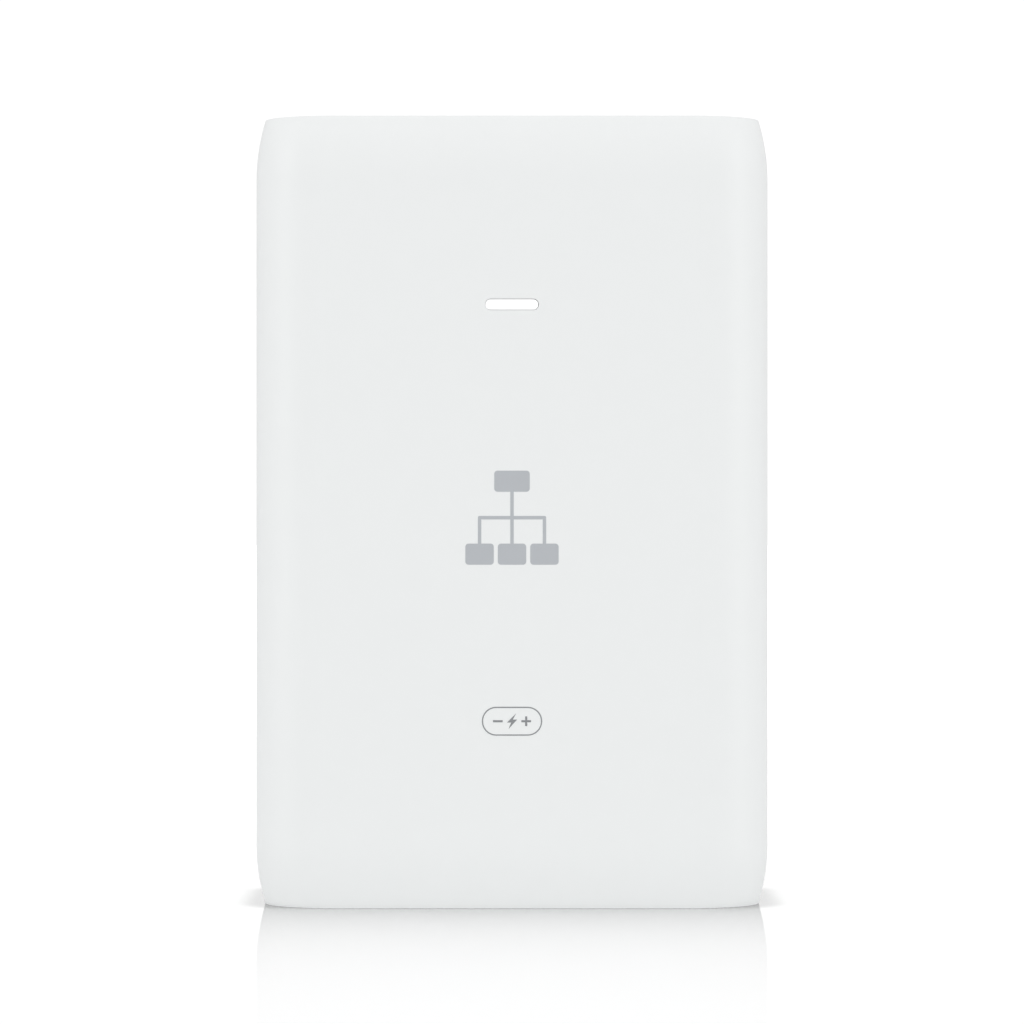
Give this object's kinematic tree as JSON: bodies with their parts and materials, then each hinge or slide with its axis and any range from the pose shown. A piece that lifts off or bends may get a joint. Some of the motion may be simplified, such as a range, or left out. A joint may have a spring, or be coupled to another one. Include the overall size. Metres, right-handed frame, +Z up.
{
  "type": "poe injector",
  "caption": "Upright white plastic brick that puts power on a network line, with two network sockets on top, a mains inlet underneath, a lit status slot and a slide-on wall bracket.",
  "frame": {"origin": "centre of the footprint, on the surface that the brick stands on", "axes": "+Z up, from the mains end to the end with the network sockets; -Y out of the face with the status light; +X to the right as that face is looked at"},
  "size_m": [0.064, 0.036, 0.098],
  "materials": {
    "casing": "satin moulded white plastic",
    "lens": "diffusing light pipe, lit white",
    "rubber": "matte grey rubber",
    "label": "satin blank label",
    "black_plastic": "moulded black plastic",
    "nylon": "white nylon",
    "sheet_steel": "tinned sheet steel",
    "zinc_steel": "zinc-plated steel",
    "gold": "gold-plated spring wire",
    "nickel": "nickel-plated brass",
    "board": "green solder mask on glass laminate",
    "aluminium": "extruded aluminium",
    "ferrite": "sintered ferrite",
    "copper": "enamelled copper wire",
    "tape": "yellow polyester tape",
    "blue_epoxy": "blue epoxy coating",
    "green_epoxy": "green epoxy coating",
    "yellow_box": "yellow moulded box",
    "sleeve": "dark shrink sleeve",
    "film": "translucent insulation film"
  },
  "bodies": {
    "brick": {"front_shell": "casing", "rear_shell": "casing", "light_pipe": "lens", "rating_label": "label", "screw_lower_left": "zinc_steel", "screw_upper_left": "zinc_steel", "screw_lower_right": "zinc_steel", "screw_upper_right": "zinc_steel", "foot_lower_left": "rubber", "foot_upper_left": "rubber", "foot_lower_right": "rubber", "foot_upper_right": "rubber", "main_board": "board", "insulation_sheet": "film", "status_led": "nylon", "data_jack_housing": "black_plastic", "data_jack_shield": "sheet_steel", "power_jack_housing": "black_plastic", "power_jack_shield": "sheet_steel", "inlet_housing": "black_plastic", "inlet_blade_line": "nickel", "inlet_blade_neutral": "nickel", "inlet_blade_earth": "nickel", "film_capacitor": "yellow_box", "fuse": "black_plastic", "varistor": "blue_epoxy", "choke_core": "ferrite", "choke_winding_left": "copper", "choke_winding_right": "copper", "bridge_rectifier": "black_plastic", "thermistor": "green_epoxy", "bulk_capacitor": "sleeve", "primary_heatsink": "aluminium", "switch_transistor": "black_plastic", "transformer_core_upper": "ferrite", "transformer_core_lower": "ferrite", "transformer_bobbin": "black_plastic", "transformer_winding": "tape", "safety_capacitor": "blue_epoxy", "optocoupler": "black_plastic", "secondary_heatsink": "aluminium", "output_rectifier": "black_plastic", "output_choke": "ferrite", "power_controller": "black_plastic", "data_magnetics": "black_plastic", "power_magnetics": "black_plastic", "output_capacitor_left": "sleeve", "output_capacitor_right": "sleeve"},
    "wall_bracket": {"wall_bracket": "casing"},
    "data_contacts": {"data_jack_contacts": "gold"},
    "power_contacts": {"power_jack_contacts": "gold"}
  },
  "joints": [
    {"name": "bracket_slide", "type": "slide", "parent": "brick", "child": "wall_bracket", "axis": [0, 0, -1], "range_m": [0, 0.066]},
    {"name": "data_contacts_flex", "type": "hinge", "parent": "brick", "child": "data_contacts", "pos_m": [-0.01, 0.00735, 0.0956], "axis": [1, 0, 0], "range_deg": [0, 10], "stiffness_Nm_per_rad": 0.05},
    {"name": "power_contacts_flex", "type": "hinge", "parent": "brick", "child": "power_contacts", "pos_m": [0.01, 0.00735, 0.0956], "axis": [1, 0, 0], "range_deg": [0, 10], "stiffness_Nm_per_rad": 0.05}
  ]
}
